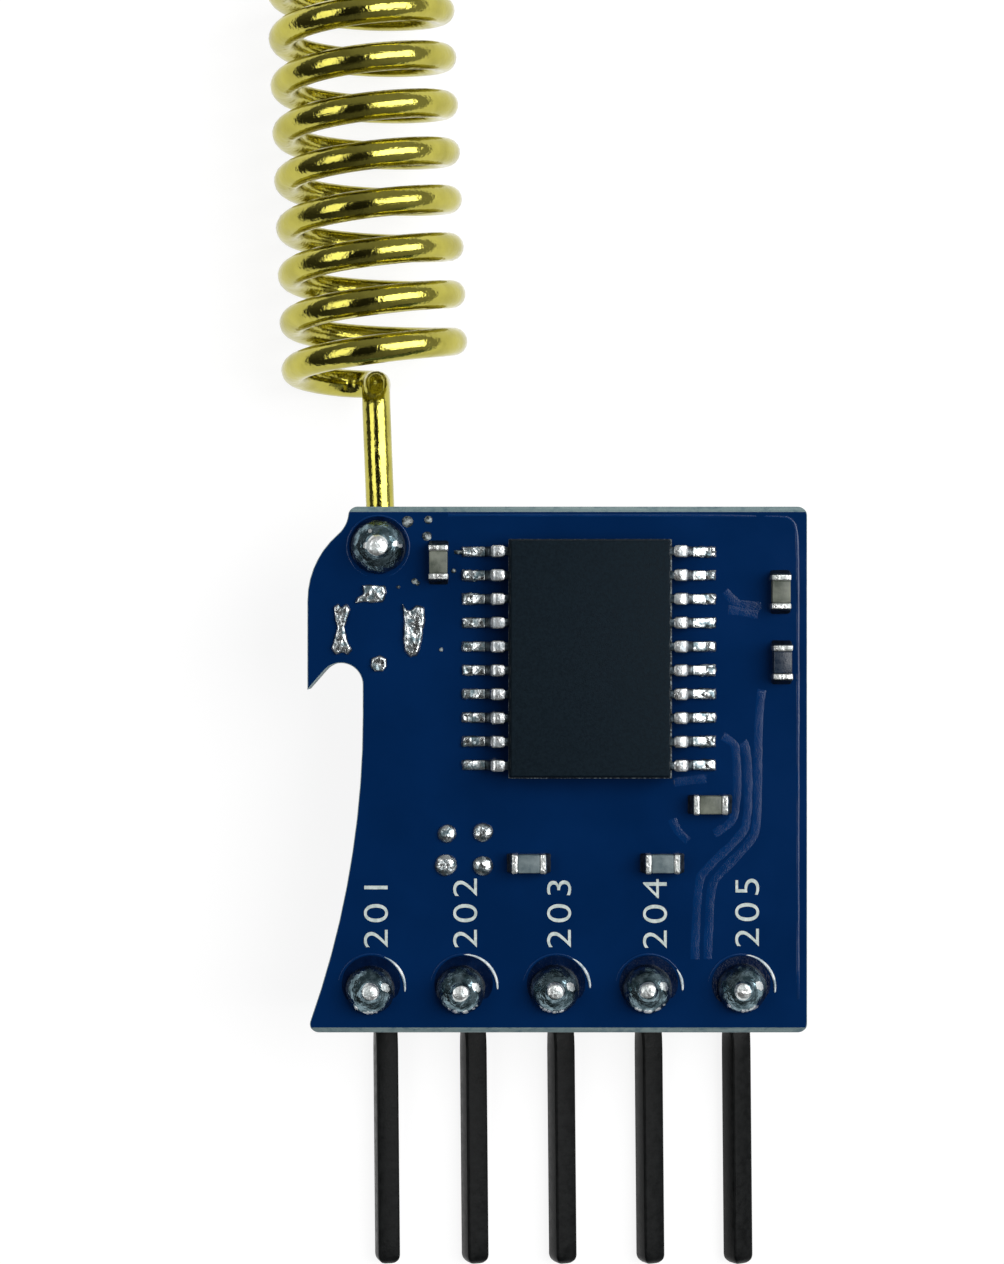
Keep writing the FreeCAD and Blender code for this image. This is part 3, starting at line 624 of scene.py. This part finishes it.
def model_pin(number, x, twist):
    """A square pin: down through the board, round its bend, and out to a rounded end."""
    bpy.ops.mesh.primitive_plane_add(size=PIN_WIDTH, location=(0, 0, 0))
    pin = fresh(f"pin_{number}")
    edit("VERT")
    bpy.ops.mesh.select_all(action="SELECT")
    bpy.ops.mesh.bevel(offset=PIN_CORNER, segments=3, affect="VERTICES")
    bpy.ops.mesh.select_all(action="SELECT")
    drop = FRONT + PIN_TOP - PIN_WIDTH / 2 - PIN_BEND
    axis = -drop - PIN_BEND
    extrude(0, 0, -drop)
    bpy.ops.mesh.spin(steps=12, angle=math.radians(90), center=(0, -PIN_BEND, -drop), axis=(1, 0, 0))
    leave()
    edit("FACE")
    half_way = -drop - 0.5 * PIN_BEND
    pick(pin, lambda face: abs(face.normal.y) > 0.99 and face.calc_center_median().z < half_way)
    steps = 24
    reach = PIN_REACH - PIN_BEND - sum(out for out, narrow in PIN_TIP)
    for step in range(steps):
        extrude(0, -reach / steps, 0)
    end = -PIN_BEND - reach
    for out, narrow in PIN_TIP:
        extrude(0, -out, 0)
        end -= out
        resize(narrow, 1, narrow, (0, end, axis))
    leave()
    close_up(pin)
    corner = PIN_WIDTH / 2 - 0.03
    for vertex in pin.data.vertices:
        angle = math.radians(twist) * ease((-vertex.co.y - PIN_BEND) / TWIST_RUN)
        lift = (math.cos(angle) + math.sin(angle) - 1) * corner
        offset = Vector((vertex.co.x, 0, vertex.co.z - axis))
        offset.rotate(Matrix.Rotation(angle, 3, "Y"))
        aside = DRIFT * ease(-vertex.co.z / DRIFT_DEPTH) + DRIFT_A_MM * max(-vertex.co.y, 0.0)
        vertex.co = Vector((offset.x + aside, vertex.co.y, axis + offset.z + lift))
    place(pin, x, HEADER_Y, PIN_TOP)
    smooth(pin, 50)
    finish_piece(pin, PIN_METAL, "dark_pin", f"header_pin_{number}")


def mound(name, x, y, profile, sides=40, lumps=0.05, grain=0.32):
    """A round mound of solder from rings of (radius, height), closed at the foot and at the top."""
    bpy.ops.mesh.primitive_circle_add(vertices=sides, radius=profile[0][0], fill_type="NGON")
    dome = fresh(name)
    edit("FACE")
    bpy.ops.mesh.select_all(action="SELECT")
    level, reach = profile[0][1], profile[0][0]
    bpy.ops.transform.translate(value=(0, 0, level))
    for radius, height in profile[1:]:
        extrude(0, 0, height - level)
        resize(radius / reach, radius / reach, 1, (0, 0, height))
        level, reach = height, radius
    bpy.ops.mesh.poke()
    leave()
    close_up(dome)
    shape(dome, "SUBSURF", levels=2, render_levels=2)
    place(dome, x, y)
    settle_place(dome)
    ripple(dome, grain, lumps, 3)
    return dome


def finish_dome(dome, tip, middle, spots, node):
    """Solder all over, with bright tin at the top, partly the real end of the pin or wire and partly a
    painted highlight, and painted glints on a few spots given as (x, y, radius) from the joint's middle."""
    smooth(dome, 80)
    dome.data.materials.append(SOLDER)
    dome.data.materials.append(TIN_AND_PAINTED_GLINTS)
    top = max(dome.data.vertices, key=lambda vertex: vertex.co.z).co
    centre = Vector((BOARD_X + middle[0], BOARD_Y + middle[1]))
    for face in dome.data.polygons:
        place_on = face.center.to_2d()
        bright = (place_on - top.to_2d()).length < tip and face.center.z > top.z - 0.12
        for x, y, radius in spots:
            bright = bright or (place_on - centre - Vector((x, y))).length < radius
        face.material_index = 1 if bright else 0
    finish_piece(dome, None, "solder", node)


def make_joints():
    profile = [(0.55, -0.04), (0.66, -0.03), (0.68, 0.06), (0.66, 0.22), (0.60, 0.38), (0.50, 0.52),
               (0.38, 0.63), (0.27, 0.71), (0.23, 0.79), (0.19, 0.83), (0.10, 0.85)]
    offsets = ((-0.03, -0.05), (-0.09, -0.04), (-0.05, -0.03), (-0.05, -0.02), (0.02, 0.0))
    for number, (x, (aside, along)) in enumerate(zip(PIN_X, offsets), start=1):
        dome = mound(f"joint_{number}", x + aside, HEADER_Y + along, profile, lumps=0.05, grain=0.34)
        # Painted glints: bright highlight spots on the dome's right side, and specks round its lower rim
        glints = [(0.42, 0.13, 0.10), (0.48, 0.06, 0.07), (0.37, 0.19, 0.05)]
        for _ in range(7):
            angle = math.radians(random.uniform(225, 320))
            glints.append((0.6 * math.cos(angle), 0.6 * math.sin(angle), random.uniform(0.03, 0.07)))
        finish_dome(dome, 0.24, (x + aside, HEADER_Y + along), glints, f"header_joint_{number}")
    profile = [(0.62, -0.04), (0.74, -0.03), (0.76, 0.05), (0.72, 0.16), (0.62, 0.30), (0.48, 0.42),
               (0.36, 0.50), (0.29, 0.60), (0.24, 0.66), (0.12, 0.69)]
    dome = mound("wire_joint", *ANTENNA_HOLE, profile, sides=30, lumps=0.06, grain=0.4)
    # The antenna joint's bright spots are painted glints
    finish_dome(dome, 0.3, ANTENNA_HOLE, [(0.5, 0.08, 0.08), (0.62, 0.02, 0.06), (-0.2, 0.42, 0.05),
                                          (-0.3, 0.02, 0.09)], "antenna_joint")


# Antenna, along the same centre line as the solid one

WIRE, WIRE_BEND, COIL, RISE, TURNS, STEM = 0.8, 0.8, 2.25, 1.34, 9.0, 3.92
ANTENNA_LEAN = 2.2


def antenna_line():
    slope = math.atan2(RISE, 2 * math.pi * COIL)
    axis = COIL + WIRE / 2
    step = math.radians(9)

    def angles(turn):
        count = math.ceil(turn / step)
        return [turn * index / count for index in range(count + 1)]

    line = [Vector((0, 0, FRONT + 0.28 - axis)), Vector((0, 0, FRONT - BOARD_THICKNESS - axis))]
    for turn in angles(math.pi / 2):
        line.append(Vector((0, WIRE_BEND * (1 - math.cos(turn)), WIRE_BEND * (1 - math.sin(turn)))))
    for share in (0.3, 0.6):
        line.append(Vector((0, WIRE_BEND + (STEM - WIRE_BEND) * share, 0)))
    for turn in angles(math.pi / 2 - slope):
        line.append(Vector((0, STEM + WIRE_BEND * math.sin(turn), -WIRE_BEND * (1 - math.cos(turn)))))
    run = line[-1]
    centre = -math.sqrt((COIL - WIRE_BEND) ** 2 - WIRE_BEND ** 2)
    curl = run.y + (run.z - centre) * math.tan(slope)
    for turn in angles(math.acos(-WIRE_BEND / (COIL - WIRE_BEND))):
        side = Vector((math.cos(turn), 0, -math.sin(turn)))
        foot = Vector((-WIRE_BEND, curl + WIRE_BEND * turn * math.tan(slope), centre))
        line.append(foot + side * WIRE_BEND)
    meeting = line[-1]
    first = math.atan2(meeting.x, meeting.z)
    for turn in angles(2 * math.pi * TURNS)[1:]:
        side = Vector((math.sin(first + turn), 0, math.cos(first + turn)))
        line.append(side * COIL + Vector((0, meeting.y + RISE * turn / (2 * math.pi), 0)))
    return line


def make_antenna():
    line = antenna_line()
    curve = bpy.data.curves.new("antenna", "CURVE")
    curve.dimensions = "3D"
    curve.bevel_depth = WIRE / 2
    curve.bevel_resolution = 7
    curve.use_fill_caps = True
    spline = curve.splines.new("POLY")
    spline.points.add(len(line) - 1)
    for point, spot in zip(spline.points, line):
        point.co = (*spot, 1.0)
    wire = bpy.data.objects.new("antenna", curve)
    bpy.context.scene.collection.objects.link(wire)
    hold(wire)
    bpy.ops.object.convert(target="MESH")
    wire = bpy.context.object
    close_up(wire)
    shape(wire, "BEVEL", width=0.05, segments=2, limit_method="ANGLE", angle_limit=math.radians(60))
    wire.rotation_euler.z = math.radians(ANTENNA_LEAN)
    place(wire, *ANTENNA_HOLE)
    wire.location.z = COIL + WIRE / 2
    smooth(wire, 50)
    finish_piece(wire, BRASS, "gilt_wire", "spring_antenna")


# Chip

def make_chip():
    """The chip's moulded body, and the thin line round its walls where the two halves of its mould met,
    with pale specks of painted highlight along it.
    """
    body = copy_of("chip_body", "chip")
    shape(body, "BEVEL", width=0.05, segments=3, limit_method="ANGLE", angle_limit=math.radians(20))
    smooth(body, 40)
    finish_piece(body, CHIP_PLASTIC, "chip_plastic", "chip_body")
    low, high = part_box("chip_body")
    deselect()
    bpy.ops.mesh.primitive_cube_add(size=1)
    seam = fresh("chip_seam_glints")
    seam.scale = ((high[0] - low[0]) / MM + 0.06, (high[1] - low[1]) / MM + 0.04, 0.04)
    place(seam, CHIP_X + 0.02, CHIP_Y - 0.01, 0.49)
    settle_place(seam)
    shape(seam, "BEVEL", width=0.012, segments=2, limit_method="NONE")
    finish_piece(seam, SEAM_AND_GLINTS, "chip_plastic")


def model_lead():
    """One gull-wing lead that leaves the chip's wall along +X, standing at the middle of the chip."""
    thick, width, bend, turn = 0.15, 0.27, 0.12, math.radians(70)
    start, tip, nose = CHIP_HALF - 0.02, CHIP_HALF + 1.0, 0.03
    level, fall = 0.6, 0.525
    bpy.ops.mesh.primitive_plane_add(size=1, rotation=(0, math.radians(90), 0), location=(start, 0, level))
    lead = fresh("lead")
    lead.scale = (thick, width, 1)
    settle_place(lead)
    edit("VERT")
    bpy.ops.mesh.select_all(action="SELECT")
    bpy.ops.mesh.bevel(offset=0.03, segments=2, affect="VERTICES")
    bpy.ops.mesh.select_all(action="SELECT")
    x = start
    for length in (0.13, 0.05, 0.17):
        extrude(length, 0, 0)
        x += length
    bpy.ops.mesh.spin(steps=6, angle=-turn, center=(x, 0, level - bend), axis=(0, 1, 0))
    down = fall - 2 * bend * (1 - math.cos(turn))
    run = down / math.tan(turn)
    x += bend * math.sin(turn)
    z = level - bend * (1 - math.cos(turn))
    extrude(run, 0, -down)
    x, z = x + run, z - down
    centre = (x + bend * math.sin(turn), 0, z + bend * math.cos(turn))
    bpy.ops.mesh.spin(steps=6, angle=turn, center=centre, axis=(0, 1, 0))
    x, z = centre[0], centre[2] - bend
    extrude(tip - x - nose, 0, 0)
    extrude(nose, 0, 0)
    resize(1, 0.8, 0.75, (tip, 0, z))
    leave()
    close_up(lead)
    # Narrow and painted with shade at the wall, wide and bright on the shoulder, painted with shade on the
    # leg, tin on the foot
    wall, shoulder, leg, foot = 0.12, 0.46, 0.5, 0.66
    for vertex in lead.data.vertices:
        out = vertex.co.x - CHIP_HALF
        vertex.co.y *= 0.85 if out < wall else 1.2 if out < shoulder else 1.0
    for finish in (LEAD_TIN, LEAD_PAINTED_SHADE, TINNED):
        lead.data.materials.append(finish)
    for face in lead.data.polygons:
        out = face.center.x - CHIP_HALF
        face.material_index = 1 if out < wall or leg < out < foot else 2 if out > foot else 0
    return lead


def model_toe():
    """Solder over the toe of one lead."""
    bpy.ops.mesh.primitive_cube_add(size=1, location=(CHIP_HALF + 1.06, 0, 0.06))
    toe = fresh("toe")
    toe.scale = (0.5, 0.36, 0.14)
    settle_place(toe)
    edit("FACE")
    pick(toe, lambda face: face.normal.z > 0.9)
    resize(0.82, 0.74, 1, (CHIP_HALF + 0.98, 0, 0.1))
    leave()
    shape(toe, "BEVEL", width=0.05, segments=2, limit_method="NONE")
    shape(toe, "SUBSURF", levels=2, render_levels=2)
    return toe


def make_leads():
    lead, toe = model_lead(), model_toe()
    toes = []
    for number in range(1, 2 * LEADS_A_SIDE + 1):
        left = number <= LEADS_A_SIDE
        row = number - 1 if left else 2 * LEADS_A_SIDE - number
        y = CHIP_Y + LEAD_PITCH * ((LEADS_A_SIDE - 1) / 2 - row)
        for master in (lead, toe):
            piece = master.copy()
            piece.data = master.data.copy()
            bpy.context.scene.collection.objects.link(piece)
            piece.rotation_euler.z = math.radians(180 if left else 0)
            place(piece, CHIP_X, y)
            if master is lead:
                piece.name = f"lead_{number:02d}"
                smooth(piece, 50)
                finish_piece(piece, None, "tinned_lead", f"chip_lead_{number:02d}")
            else:
                piece.scale = (1, random.uniform(0.9, 1.08), random.uniform(0.85, 1.2))
                settle_place(piece)
                ripple(piece, 0.12, 0.07, 2)
                toes.append(piece)
    for master in (lead, toe):
        bpy.data.objects.remove(master)
    joined = join("toe_solder", toes)
    smooth(joined, 80)
    finish_piece(joined, TINNED, "solder", "chip_solder")


# Small parts on the board

SMALL_PARTS = (
    ("capacitor_1", BROWN, "brown_ceramic"),
    ("capacitor_2", BROWN, "brown_ceramic"),
    ("capacitor_3", BROWN, "brown_ceramic"),
    ("capacitor_4", GREY, "grey_ceramic"),
    ("capacitor_5", GREY, "grey_ceramic"),
    ("resistor", BLACK, "black_ceramic"),
)
CAP_FACE = 0.455


def make_small_parts():
    """Ceramic bodies and tinned ends, with dark painted shade on the solder beyond CAP_FACE from a part's
    middle.
    """
    for name, material, slot in SMALL_PARTS:
        core = copy_of(f"{name}_body", f"{name}_ceramic")
        shape(core, "BEVEL", width=0.03, segments=3, limit_method="ANGLE", angle_limit=math.radians(30))
        smooth(core, 40)
        finish_piece(core, material, slot, f"{name}_body")
        ends = copy_of(f"{name}_ends", f"{name}_caps")
        shape(ends, "BEVEL", width=0.05, segments=3, limit_method="ANGLE", angle_limit=math.radians(30))
        shape(ends, "SUBSURF", levels=2, render_levels=2, subdivision_type="SIMPLE")
        ripple(ends, 0.14, 0.025, 2)
        smooth(ends, 60)
        low, high = (Vector(corner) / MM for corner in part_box(f"{name}_ends"))
        middle, axis = (low + high) / 2, 0 if high.x - low.x > high.y - low.y else 1
        ends.data.materials.append(END_CAP)
        ends.data.materials.append(PAINTED_SHADE_SOLDER)
        for face in ends.data.polygons:
            face.material_index = 1 if abs(face.center[axis] - middle[axis]) > CAP_FACE else 0
        finish_piece(ends, None, "end_cap", f"{name}_ends")


# Tinned lands

def pool(name, outline, height, lumps=0.07, grain=0.3):
    """A thin uneven pool of solder inside an outline of (x, y) from the board's middle."""
    bpy.ops.mesh.primitive_circle_add(vertices=len(outline), radius=1, fill_type="NGON")
    piece = fresh(name)
    sunk = 0.04
    for vertex, (x, y) in zip(piece.data.vertices, outline):
        vertex.co = (x, y, -sunk)
    middle = (sum(x for x, y in outline) / len(outline), sum(y for x, y in outline) / len(outline), 0)
    edit("FACE")
    bpy.ops.mesh.select_all(action="SELECT")
    extrude(0, 0, height + sunk)
    resize(0.86, 0.9, 1, middle)
    leave()
    place(piece, 0, 0)
    close_up(piece)
    settle_place(piece)
    shape(piece, "REMESH", mode="VOXEL", voxel_size=0.028)
    shape(piece, "SMOOTH", factor=0.5, iterations=3)
    ripple(piece, grain, lumps, 3)
    for vertex in piece.data.vertices:
        vertex.co.z = max(vertex.co.z, FRONT - 0.03)
    close_up(piece, 1e-5)
    smooth(piece, 80)
    return piece


def make_lands():
    outlines = {
        "left": [(-6.16, 4.5), (-6.02, 4.62), (-5.93, 4.46), (-5.78, 4.58), (-5.66, 4.42), (-5.76, 4.2),
                 (-5.83, 3.9), (-5.76, 3.55), (-5.63, 3.28), (-5.74, 3.12), (-5.9, 3.22), (-6.08, 3.1),
                 (-6.22, 3.3), (-6.12, 3.6), (-6.05, 3.9), (-6.12, 4.2)],
        "right": [(-4.28, 4.66), (-4.18, 4.42), (-4.02, 4.4), (-3.86, 4.56), (-3.64, 4.5), (-3.62, 4.1),
                  (-3.68, 3.7), (-3.74, 3.35), (-3.86, 3.1), (-4.05, 3.06), (-4.2, 3.22), (-4.24, 3.6),
                  (-4.22, 4.0)],
        "top": [(-5.36, 5.08), (-5.1, 5.1), (-4.72, 5.06), (-4.66, 4.84), (-4.76, 4.6), (-5.1, 4.56),
                (-5.34, 4.6), (-5.56, 4.56), (-5.5, 4.72), (-5.32, 4.84)],
        "bottom": [(-5.12, 3.08), (-4.88, 3.14), (-4.68, 3.06), (-4.66, 2.84), (-4.76, 2.68),
                   (-5.0, 2.68), (-5.14, 2.82)],
    }
    for side, outline in outlines.items():
        piece = pool(f"land_{side}", outline, 0.1)
        finish_piece(piece, TINNED, "solder", f"tinned_land_{side}")
    dots = []
    spots = ((-3.03, -1.75, 0.27), (-2.04, -1.71, 0.285), (-3.055, -2.615, 0.32), (-2.04, -2.64, 0.295))
    for number, (x, y, radius) in enumerate(spots, start=1):
        profile = [(radius * 0.9, -0.03), (radius, 0.0), (radius * 0.9, 0.08), (radius * 0.6, 0.14),
                   (radius * 0.3, 0.16)]
        dots.append(mound(f"dot_{number}", x, y, profile, sides=20, lumps=0.05, grain=0.2))
    joined = join("test_dots", dots)
    smooth(joined, 80)
    finish_piece(joined, TINNED, "solder", "test_land_solder")


def make_specks():
    """Small solder splashes and flux residue round the hand-made joints."""
    spots = ((-4.11, 6.81, 0.17), (-3.54, 6.86, 0.12), (-3.58, 6.41, 0.14), (-2.84, 5.46, 0.07),
             (-3.19, 3.30, 0.06), (-3.92, 5.18, 0.09), (-3.84, 5.12, 0.07), (-4.36, 5.02, 0.05))
    specks = []
    for number, (x, y, radius) in enumerate(spots, start=1):
        profile = [(radius * 0.9, -0.02), (radius, 0.0), (radius * 0.8, 0.04), (radius * 0.4, 0.06)]
        specks.append(mound(f"speck_{number}", x, y, profile, sides=14, lumps=0.03, grain=0.1))
    specks.append(pool("tin_1", [(-2.86, 6.02), (-2.3, 6.06), (-2.0, 6.0), (-2.0, 5.9), (-2.4, 5.9),
                                 (-2.84, 5.92)], 0.05))
    joined = join("solder_splashes", specks)
    smooth(joined, 80)
    finish_piece(joined, FLUX, "solder")


# Floor, light and camera

def make_floor():
    """A grey floor that glows for the camera and in reflections: it looks white and keeps the shadow."""
    deselect()
    bpy.ops.mesh.primitive_plane_add(size=0.6)
    floor = fresh("floor")
    material = bpy.data.materials.new("Floor")
    material.use_nodes = True
    nodes, links = material.node_tree.nodes, material.node_tree.links
    shader = nodes["Principled BSDF"]
    shader.inputs["Base Color"].default_value = (0.22, 0.22, 0.22, 1.0)
    shader.inputs["Roughness"].default_value = 1.0
    shader.inputs["Specular IOR Level"].default_value = 0.0
    path = nodes.new("ShaderNodeLightPath")
    seen = nodes.new("ShaderNodeMath")
    seen.operation = "MAXIMUM"
    through = nodes.new("ShaderNodeMath")
    through.operation = "MAXIMUM"
    glow = nodes.new("ShaderNodeMath")
    glow.operation = "MULTIPLY"
    glow.inputs[1].default_value = 0.86
    links.new(path.outputs["Is Camera Ray"], seen.inputs[0])
    links.new(path.outputs["Is Glossy Ray"], seen.inputs[1])
    links.new(seen.outputs[0], through.inputs[0])
    links.new(path.outputs["Is Transmission Ray"], through.inputs[1])
    links.new(through.outputs[0], glow.inputs[0])
    links.new(glow.outputs[0], shader.inputs["Emission Strength"])
    shader.inputs["Emission Color"].default_value = (1.0, 1.0, 1.0, 1.0)
    floor.data.materials.append(material)


def make_world():
    """Soft studio light: dim straight above, where the camera is, and bright towards the sides."""
    world = bpy.data.worlds.new("Studio")
    bpy.context.scene.world = world
    world.use_nodes = True
    nodes, links = world.node_tree.nodes, world.node_tree.links
    where = nodes.new("ShaderNodeTexCoord")
    stretch = nodes.new("ShaderNodeMapping")
    stretch.inputs["Location"].default_value = (0.35, 0.32, 0.0)
    stretch.inputs["Scale"].default_value = (3.0, 1.9, 0.0)
    reach = nodes.new("ShaderNodeVectorMath")
    reach.operation = "LENGTH"
    crown = nodes.new("ShaderNodeMapRange")
    for label, value in (("From Min", 0.8), ("From Max", 1.25), ("To Min", 0.03), ("To Max", 0.32)):
        crown.inputs[label].default_value = value
    towards = nodes.new("ShaderNodeVectorMath")
    towards.operation = "DOT_PRODUCT"
    towards.inputs[1].default_value = (0.85, 0.52, 0.0)
    side = nodes.new("ShaderNodeMapRange")
    for label, value in (("From Min", -0.9), ("From Max", 0.6), ("To Min", 0.12), ("To Max", 1.05)):
        side.inputs[label].default_value = value
    both = nodes.new("ShaderNodeMath")
    both.operation = "MULTIPLY"
    links.new(where.outputs["Generated"], stretch.inputs["Vector"])
    links.new(stretch.outputs["Vector"], reach.inputs[0])
    links.new(reach.outputs["Value"], crown.inputs["Value"])
    links.new(where.outputs["Generated"], towards.inputs[0])
    links.new(towards.outputs["Value"], side.inputs["Value"])
    links.new(crown.outputs["Result"], both.inputs[0])
    links.new(side.outputs["Result"], both.inputs[1])
    path = nodes.new("ShaderNodeLightPath")
    shown = nodes.new("ShaderNodeMath")
    shown.operation = "MAXIMUM"
    links.new(both.outputs[0], shown.inputs[0])
    links.new(path.outputs["Is Camera Ray"], shown.inputs[1])
    nodes["Background"].inputs["Color"].default_value = (1.0, 1.0, 1.0, 1.0)
    links.new(shown.outputs[0], nodes["Background"].inputs["Strength"])


def add_lamp(name, direction, distance, width, height, power):
    """A softbox that shines on the origin. Lengths are in metres."""
    lamp = bpy.data.lights.new(name, "AREA")
    lamp.shape = "RECTANGLE"
    lamp.size, lamp.size_y = width, height
    lamp.energy = power
    piece = bpy.data.objects.new(name, lamp)
    bpy.context.scene.collection.objects.link(piece)
    direction = Vector(direction).normalized()
    piece.location = direction * distance
    piece.rotation_mode = "QUATERNION"
    piece.rotation_quaternion = direction.to_track_quat("Z", "Y")


def make_camera():
    """The photograph's view, straight down from 96 mm above the floor."""
    camera = bpy.data.cameras.new("camera")
    camera.lens = 94.0
    camera.sensor_width = 36.0
    camera.clip_start, camera.clip_end = 0.001, 10.0
    piece = bpy.data.objects.new("camera", camera)
    bpy.context.scene.collection.objects.link(piece)
    piece.location = (-0.837 * MM, -0.658 * MM, 96.1 * MM)
    bpy.context.scene.camera = piece


make_camera()
make_floor()
make_world()
add_lamp("key", direction=(0.78, 0.18, 1.0), distance=0.15, width=0.10, height=0.15, power=0.22)
add_lamp("fill", direction=(-0.85, 0.10, 1.0), distance=0.15, width=0.12, height=0.07, power=0.055)
make_board()
make_reliefs()
make_rings()
make_numbers()
make_strip()
for number, (x, twist) in enumerate(zip(PIN_X, PIN_TWIST), start=1):
    model_pin(number, x, twist)
make_joints()
make_antenna()
make_chip()
make_leads()
make_small_parts()
make_lands()
make_specks()
bpy.context.scene.view_settings.view_transform = "Standard"
